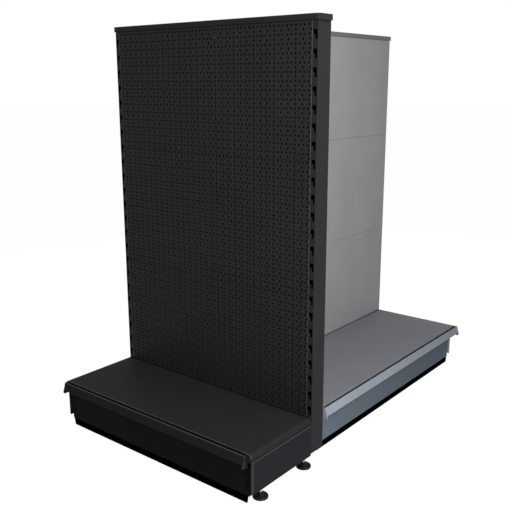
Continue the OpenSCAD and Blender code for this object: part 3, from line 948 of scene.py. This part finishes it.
@dataclass
class BaseSection:
    """One side's base: its legs, shelf, price rail, end caps and kick plate, facing one way."""

    wardrobe: Wardrobe
    prefix: str
    suffix: str
    front: Vector
    legs: dict[str, Vector]
    coats: dict[str, Finish]
    bend: float = 0.002
    hem: float = 0.0009
    hem_strip: float = 0.0036
    rear_strip: float = 0.006
    groove_depth: float = 0.0095
    groove_reach: float = 0.0084
    leg_highlight_strip: float = 0.0028
    cap_edge: float = 0.0005
    shelf_corner: float = 0.0125
    lip_depth: float = 0.0035
    lip_in: float = 0.004
    square_on: float = 0.9
    sideways: float = 0.5
    upwards: float = 0.3
    askew: float = 0.2

    @property
    def side(self) -> Vector:
        """The direction along the base, from left to right as one looks at it."""
        return Vector((-self.front.y, self.front.x, 0.0))

    def name(self, part: str) -> str:
        """Gives a node's name."""
        return f"{self.prefix}_{part}{self.suffix}"

    def shelf(self) -> None:
        """Makes the shelf, with a painted highlight on the bend along its front, and painted shade
        on the hems at its sides and on its rear strip.
        """
        work = Softener(self.wardrobe, self.name("base_shelf"))
        ahead, rear = work.reach(self.front), work.reach(-self.front)
        edge, at_end = work.reach(self.side), work.ends(self.side)
        corner = work.high.z - self.shelf_corner
        hem = min(v.co.z for v in work.shape.verts if work.at(v.co.dot(self.side), edge))

        def front_bend(point: Vector) -> bool:
            """Picks the front's upper outline."""
            return work.at(point.dot(self.front), ahead) and point.z > corner

        def side_hem(point: Vector) -> bool:
            """Picks the sides' lower edges."""
            return work.at(point.z, hem) and at_end(point)

        def hem_strip(middle: Vector, facing: Vector) -> bool:
            """Picks the sides' lowest strip, outside."""
            outside = abs(facing.dot(self.side)) > self.sideways
            return outside and middle.z < hem + self.hem_strip

        def rear_strip(middle: Vector, facing: Vector) -> bool:
            """Picks the top's last strip, in the shade of the panels behind it."""
            return facing.z > self.square_on and middle.dot(self.front) < self.rear_strip - rear

        work.cut(UP, hem + self.hem_strip)
        work.cut(self.front, self.rear_strip - rear)
        # Painted shade on the sides' lowest strips, the rear strip and the rounded hems.
        work.paint_light_and_shade(hem_strip, 2)
        work.paint_light_and_shade(rear_strip, 2)
        work.round_off(side_hem, self.hem, 2)
        # Painted highlight on the rounded front bend.
        work.round_off(front_bend, self.bend, 1)
        finishes = [self.coats["shelf"], self.coats["painted_highlight"], self.coats["gap"]]
        work.close(self.name("shelf_tray"), finishes)

    def rail(self) -> None:
        """Makes the price rail, with a painted highlight on its upper lip and painted shade in the
        groove behind it, and its two end caps.
        """
        work = Softener(self.wardrobe, self.name("price_rail"))
        back = -work.reach(-self.front)

        def lip(middle: Vector, facing: Vector) -> bool:
            """Picks the upper lip's top."""
            return (
                middle.z > work.high.z - self.lip_depth
                and middle.dot(self.front) > back + self.lip_in
                and facing.z > self.upwards
            )

        def groove(middle: Vector, facing: Vector) -> bool:
            """Picks the groove behind the lip."""
            return (
                middle.z > work.high.z - self.groove_depth
                and middle.dot(self.front) < back + self.groove_reach
            )

        # Painted highlight on the upper lip's top.
        work.paint_light_and_shade(lip)
        # Painted shade in the groove behind the lip.
        work.paint_light_and_shade(groove, 2)
        finishes = [self.coats["rail"], self.coats["rail_lip"], self.coats["gap"]]
        work.close(self.name("price_rail_strip"), finishes)
        caps = Softener(self.wardrobe, self.name("rail_caps"))
        # The caps' rounded edges wear the lip's painted highlight.
        caps.round_off(lambda point: True, self.cap_edge, 1)
        caps.close(self.name("rail_end_caps"), [self.coats["cap"], self.coats["rail_lip"]])

    def leg(self, node: str, out: Vector) -> None:
        """Makes a leg, with a painted highlight along its top strip and down its rounded front
        corner.

        Args:
            node: The leg's node.
            out: The direction that its outside faces.
        """
        work = Softener(self.wardrobe, node)
        edge, top = work.reach(out), work.high.z

        def top_strip(middle: Vector, facing: Vector) -> bool:
            """Picks the outside's highest strip, which shows below the shelf's hem."""
            return (
                middle.z > top - self.leg_highlight_strip
                and facing.dot(out) > self.square_on
                and abs(middle.dot(out) - edge) < self.hem
            )

        def front_corner(middle: Vector, facing: Vector) -> bool:
            """Picks the rounded front corner's outside."""
            return min(facing.dot(out), facing.dot(self.front)) > self.askew

        work.cut(UP, top - self.leg_highlight_strip)
        # Painted highlight on the rounded front corner and on the top strip below the shelf's hem.
        work.paint_light_and_shade(front_corner)
        work.paint_light_and_shade(top_strip)
        work.close(f"{node}_bracket", [self.coats["leg"], self.coats["leg_highlight"]])

    def plinth(self) -> None:
        """Makes the kick plate, whose ends are bent back."""
        work = Softener(self.wardrobe, self.name("kick_plate"))
        ahead, at_end = work.reach(self.front), work.ends(self.side)

        def end_bend(point: Vector) -> bool:
            """Picks both ends of the face."""
            return work.at(point.dot(self.front), ahead) and at_end(point)

        work.round_off(end_bend, self.hem, climb=2 * self.bend)
        work.close(self.name("kick_board"), [self.coats["plinth"]])

    def build(self) -> None:
        """Makes the base's pieces."""
        self.shelf()
        self.rail()
        self.plinth()
        for node, out in self.legs.items():
            self.leg(node, out)


@dataclass
class Posts:
    """The slotted uprights, rolled from strip with rounded corners."""

    wardrobe: Wardrobe
    corner: float = 0.0028
    skin: float = 0.0005

    def build(self, nodes: list[str], finish: Finish) -> None:
        """Makes each upright with four rounded corners, and with painted shade inside its slots and
        tube.

        Args:
            nodes: The uprights' nodes.
            finish: What they wear.
        """
        for node in nodes:
            work = Softener(self.wardrobe, node)
            across, along = (work.ends(Vector(way)) for way in ((1, 0, 0), (0, 1, 0)))

            def corner(point: Vector) -> bool:
                """Picks the four outer corners."""
                return across(point) and along(point)

            def inside(middle: Vector, facing: Vector) -> bool:
                """Picks the slots' walls and the tube's inside."""
                return (
                    work.low.x + self.skin < middle.x < work.high.x - self.skin
                    and work.low.y + self.skin < middle.y < work.high.y - self.skin
                )

            # Painted shade on the slots' walls and inside the tube.
            work.paint_light_and_shade(inside)
            work.round_off(corner, self.corner, climb=self.corner)
            work.close(f"{node}_post", [finish, HOLLOW_PAINTED_SHADE])


@dataclass
class Feet:
    """The levelling feet: a domed plate, a hexagon collar and a threaded stud."""

    wardrobe: Wardrobe
    plate: float = 0.0235
    collar: float = 0.0085
    stud: float = 0.005
    collar_top: float = 0.018
    pitch: float = 0.002
    thread: float = 0.0006
    overlap: float = 0.0005
    sides: int = 24
    collar_sides: int = 6
    rings_per_turn: int = 4
    crease: float = math.radians(40.0)
    rim: tuple[tuple[float, float], ...] = (
        (0.002, 0.0),
        (0.0005, 0.0006),
        (0.0, 0.002),
        (0.0, 0.0055),
        (0.0012, 0.0072),
        (0.006, 0.0084),
    )
    neck: tuple[tuple[float, float], ...] = ((0.003, 0.0098), (0.0006, 0.012), (0.0, 0.012))

    def profile(self) -> list[tuple[float, float]]:
        """Gives the plate's outline, as radius and height from its underside upwards."""
        rim = [(self.plate - inset, height) for inset, height in self.rim]
        return rim + [(self.collar + beyond, height) for beyond, height in self.neck]

    def turned(self, shape: bmesh.types.BMesh, rings: list[list[Vector]], cloth: int) -> None:
        """Joins rings of points into a closed body.

        Args:
            shape: The mesh that takes the body.
            rings: The rings, from the lowest to the highest.
            cloth: The place of its finish.
        """
        rows = [[shape.verts.new(point) for point in ring] for ring in rings]
        faces = [shape.faces.new(list(reversed(rows[0]))), shape.faces.new(rows[-1])]
        for one, two in zip(rows, rows[1:]):
            for k in range(len(one)):
                after = (k + 1) % len(one)
                faces.append(shape.faces.new((one[k], one[after], two[after], two[k])))
        for face in faces:
            face.material_index = cloth
            face.smooth = True

    def ring(self, centre: Vector, radius: float, height: float, sides: int) -> list[Vector]:
        """Gives the points of one level ring.

        Args:
            centre: The foot's middle, on the floor.
            radius: The ring's radius.
            height: How far it lies above the floor.
            sides: How many points it has.

        Returns:
            The points.
        """
        turns = [math.tau * k / sides for k in range(sides)]
        return [
            centre + Vector((radius * math.cos(t), radius * math.sin(t), height)) for t in turns
        ]

    def threaded(self, centre: Vector, top: float) -> list[list[Vector]]:
        """Gives the stud's rings, whose radius follows a helix.

        Args:
            centre: The foot's middle, on the floor.
            top: The stud's upper end.

        Returns:
            The rings, from the lowest to the highest.
        """
        start = self.collar_top - self.overlap
        count = int((top - self.collar_top) / (self.pitch / self.rings_per_turn))
        rings = []
        for k in range(count + 1):
            height = start + (top - start) * k / count
            points = []
            for j in range(self.sides):
                phase = (height / self.pitch - j / self.sides) % 1.0
                radius = self.stud - self.thread * abs(2 * phase - 1)
                turn = math.tau * j / self.sides
                points.append(
                    centre + Vector((radius * math.cos(turn), radius * math.sin(turn), height))
                )
            rings.append(points)
        return rings

    def build(self, nodes: list[str]) -> None:
        """Makes the feet.

        Args:
            nodes: The nodes that they stand for.
        """
        for node in nodes:
            low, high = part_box(node)
            centre = Vector(((low.x + high.x) / 2, (low.y + high.y) / 2, 0.0))
            shape = bmesh.new()
            plate = [self.ring(centre, r, z, 2 * self.sides) for r, z in self.profile()]
            self.turned(shape, plate, 0)
            heights = (self.neck[-1][1] - self.overlap, self.collar_top)
            collar = [self.ring(centre, self.collar, z, self.collar_sides) for z in heights]
            self.turned(shape, collar, 0)
            self.turned(shape, self.threaded(centre, high.z), 1)
            bmesh.ops.recalc_face_normals(shape, faces=shape.faces)
            mesh = bpy.data.meshes.new(node)
            shape.to_mesh(mesh)
            shape.free()
            for finish in (FOOT_STEEL, ZINC):
                mesh.materials.append(self.wardrobe.cloth_of(finish))
            mesh.set_sharp_from_angle(angle=self.crease)
            settle(new_piece(f"{node}_leveller", mesh), [node])


@dataclass
class EndUnit:
    """The black end unit across the end of the bay."""

    wardrobe: Wardrobe

    def build(self) -> None:
        """Dresses the end unit and makes its perforated panels."""
        PerforatedPanels(self.wardrobe).build()
        Posts(self.wardrobe).build(["end_upright_left", "end_upright_right"], UPRIGHT_COAT)
        legs = {f"end_leg_{side.value}": side.way for side in Side}
        coats = {
            # The highlight entries are painted highlights, the gap finish is painted shade, and the
            # leg and plinth coats are darkened as painted shade.
            "shelf": SHELF_COAT,
            "painted_highlight": SHELF_BEND_HIGHLIGHT,
            "gap": BLACK_PAINTED_SHADE,
            "leg_highlight": LEG_HIGHLIGHT_BLACK,
            "rail": BLACK_PLASTIC,
            "rail_lip": LIP_HIGHLIGHT_BLACK,
            "cap": BLACK_CAP,
            "leg": LEG_COAT_PAINTED_SHADE,
            "plinth": PLINTH_COAT_PAINTED_SHADE,
        }
        BaseSection(self.wardrobe, "end", "", Vector((0.0, -1.0, 0.0)), legs, coats).build()
        for node in ("end_rear_panels", "end_tie_bars"):
            self.wardrobe.dress_node(node, BLACK_COAT)
        self.wardrobe.dress_node("end_top_cover", BLACK_BOARD)
        self.wardrobe.dress_node("end_seal_strip", SEAL)
        self.wardrobe.dress_node("end_foot_nuts", ZINC)
        feet = [n for n in frame["nodes"] if n.startswith("end_foot_") and n != "end_foot_nuts"]
        Feet(self.wardrobe).build(feet)
        for node in ("joining_bolts", "joining_nuts"):
            self.wardrobe.dress_node(node, ZINC)


@dataclass
class Bay:
    """The light grey, double-sided bay that the end unit is joined to."""

    wardrobe: Wardrobe
    foot_plate: float = 0.02

    def build(self) -> None:
        """Dresses the bay."""
        Posts(self.wardrobe).build(["bay_upright_near", "bay_upright_far"], GREY_COAT)
        # The bay's shelf bend and rail lip carry no painted highlight, so those entries hold plain
        # coats; its legs carry a painted highlight, and its gap finish is painted shade.
        coats = {
            "shelf": GREY_SHELF_COAT,
            "painted_highlight": GREY_SHELF_COAT,
            "gap": GREY_PAINTED_SHADE,
            "leg_highlight": LEG_HIGHLIGHT_GREY,
            "rail": GREY_PLASTIC,
            "rail_lip": GREY_PLASTIC,
            "cap": GREY_PLASTIC,
            "leg": GREY_COAT,
            "plinth": GREY_PLINTH_COAT_PAINTED_SHADE,
        }
        near, far = Vector((0.0, -1.0, 0.0)), Vector((0.0, 1.0, 0.0))
        for side in Side:
            word = side.value
            legs = {f"bay_leg_{word}_near": near, f"bay_leg_{word}_far": far}
            BaseSection(self.wardrobe, "bay", f"_{word}", side.way, legs, coats).build()
            self.wardrobe.dress_node(f"bay_seal_strip_{word}", SEAL)
            feet = [f"bay_foot_{word}_{number}" for number in range(1, 5)]
            Feet(self.wardrobe, plate=self.foot_plate).build(feet)
        for level in LEVELS:
            self.wardrobe.dress_node(f"bay_panels_{level}", GREY_COAT)
        self.wardrobe.dress_node("bay_tie_bars", GREY_COAT)
        self.wardrobe.dress_node("bay_top_cover", GREY_BOARD)
        self.wardrobe.dress_node("bay_foot_nuts", ZINC)


@dataclass(frozen=True)
class SoftBox:
    """A soft box: its place and aim in metres, its width and height, and its power in watts."""

    name: str
    place: Triple
    aim: Triple
    size: tuple[float, float]
    power: float
    mirrored: bool = True
    colour: Triple = (1.0, 0.99, 0.98)

    def hang(self) -> None:
        """Hangs the box, which shows in glossy surfaces only where it is mirrored."""
        data = bpy.data.lights.new(self.name, "AREA")
        data.shape = "RECTANGLE"
        data.size, data.size_y = self.size
        data.energy = self.power
        data.color = self.colour
        lamp = bpy.data.objects.new(self.name, data)
        bpy.context.scene.collection.objects.link(lamp)
        way = Vector(self.aim) - Vector(self.place)
        turn = way.to_track_quat("-Z", "Y").to_matrix().to_4x4()
        lamp.matrix_world = Matrix.Translation(self.place) @ turn
        lamp.visible_glossy = self.mirrored


SOFT_BOXES = (
    SoftBox("side_box", (1.5, -0.95, 1.05), (0.3, -0.95, 0.8), (0.6, 1.5), 28.5),
    SoftBox("upper_box", (0.95, -0.35, 1.9), (0.25, -0.05, 0.1), (0.5, 0.5), 7.5),
    SoftBox("left_box", (-2.6, 1.3, 0.8), (-0.2, 0.2, 0.6), (1.0, 1.2), 34.0, False),
    SoftBox("back_box", (-0.7, 3.2, 0.8), (0.0, 0.5, 0.6), (1.2, 1.0), 24.0, False),
    SoftBox("front_box", (-0.1, -3.2, 2.4), (0.0, -0.3, 0.8), (1.6, 1.4), 30.0),
)


@dataclass
class Studio:
    """A plain pale floor, soft lamps and the photograph's viewpoint."""

    eye: Triple = (1.54675, -2.06376, 1.16319)
    azimuth: float = 38.91
    elevation: float = 13.65
    roll: float = -0.12
    lens: float = 50.62
    film: float = 36.0
    far: float = 100.0
    floor_size: float = 60.0
    floor_colour: Triple = (0.4, 0.4, 0.4)
    floor_clouds: float = 0.01
    floor_cloud_size: float = 1.4
    floor_roughness: float = 0.9
    floor_gloss: float = 0.1
    floor_glow: float = 0.8
    floor_white: float = 1.2
    ambient: float = 0.22
    ambient_colour: Triple = (0.97, 0.985, 1.0)

    def camera(self) -> None:
        """Places the camera at the photograph's viewpoint."""
        data = bpy.data.cameras.new("camera")
        data.lens = self.lens
        data.sensor_width = self.film
        data.clip_end = self.far
        camera = bpy.data.objects.new("camera", data)
        bpy.context.scene.collection.objects.link(camera)
        a, e = math.radians(self.azimuth), math.radians(self.elevation)
        ahead = Vector((-math.sin(a) * math.cos(e), math.cos(a) * math.cos(e), -math.sin(e)))
        right = Vector((math.cos(a), math.sin(a), 0.0))
        up = right.cross(ahead)
        turn = Matrix((right, up, -ahead)).transposed()
        spin = Matrix.Rotation(math.radians(self.roll), 3, "Z")
        camera.matrix_world = Matrix.Translation(self.eye) @ (turn @ spin).to_4x4()
        bpy.context.scene.camera = camera

    def seen(self, make: Nodes) -> Socket:
        """Finds out where the camera, a reflection or glass looks.

        Args:
            make: The builder of the tree that asks.

        Returns:
            1 there, and 0 elsewhere.
        """
        path = make.tree.nodes.new("ShaderNodeLightPath")
        total = path.outputs["Is Camera Ray"]
        for name in ("Is Glossy Ray", "Is Transmission Ray"):
            total = make.math("MAXIMUM", total, path.outputs[name])
        return total

    def floor(self) -> None:
        """Lays the pale floor, which keeps the object's shadow."""
        half = self.floor_size / 2
        mesh = bpy.data.meshes.new("floor")
        corners = [(-half, -half, 0.0), (half, -half, 0.0), (half, half, 0.0), (-half, half, 0.0)]
        mesh.from_pydata(corners, [], [(0, 1, 2, 3)])
        piece = new_piece("floor", mesh)
        make = Shader("pale floor")
        clouds = make.spread(make.noise(make.place(), self.floor_cloud_size, detail=3.0), 0.0, 1.0)
        shares = (1 - self.floor_clouds, 1 + self.floor_clouds)
        dark, light = (shade(self.floor_colour, share) for share in shares)
        make.finish(
            Base_Color=make.tint(clouds, dark, light),
            Roughness=self.floor_roughness,
            Specular_IOR_Level=self.floor_gloss,
        )
        glow = make.node("ShaderNodeEmission", Strength=self.floor_white)
        share = make.math("MULTIPLY", self.seen(make), self.floor_glow)
        shown = make.mix(share, make.surface.outputs["BSDF"], glow.outputs["Emission"])
        output = next(n for n in make.tree.nodes if n.type == "OUTPUT_MATERIAL")
        make.feed(output.inputs["Surface"], shown)
        mesh.materials.append(make.material)

    def world(self) -> None:
        """Fills the room with even light, and shows white behind the object."""
        world = bpy.data.worlds.new("studio")
        bpy.context.scene.world = world
        world.use_nodes = True
        world.node_tree.nodes.clear()
        make = Nodes(world.node_tree)
        kind = "ShaderNodeBackground"
        even = make.node(kind, Color=(*self.ambient_colour, 1.0), Strength=self.ambient)
        white = make.node(kind, Color=(1.0, 1.0, 1.0, 1.0), Strength=1.0)
        lights = (node.outputs["Background"] for node in (even, white))
        make.node("ShaderNodeOutputWorld", Surface=make.mix(self.seen(make), *lights))

    def build(self) -> None:
        """Sets up the camera, the floor and the lights."""
        self.camera()
        self.floor()
        self.world()
        for box in SOFT_BOXES:
            box.hang()
        bpy.context.scene.view_settings.view_transform = "Standard"


def main() -> None:
    """Builds the whole scene, piece by piece."""
    logging.basicConfig(level=logging.INFO, format="%(message)s")
    Studio().build()
    wardrobe = Wardrobe()
    EndUnit(wardrobe).build()
    Bay(wardrobe).build()


if __name__ == "__main__":
    main()
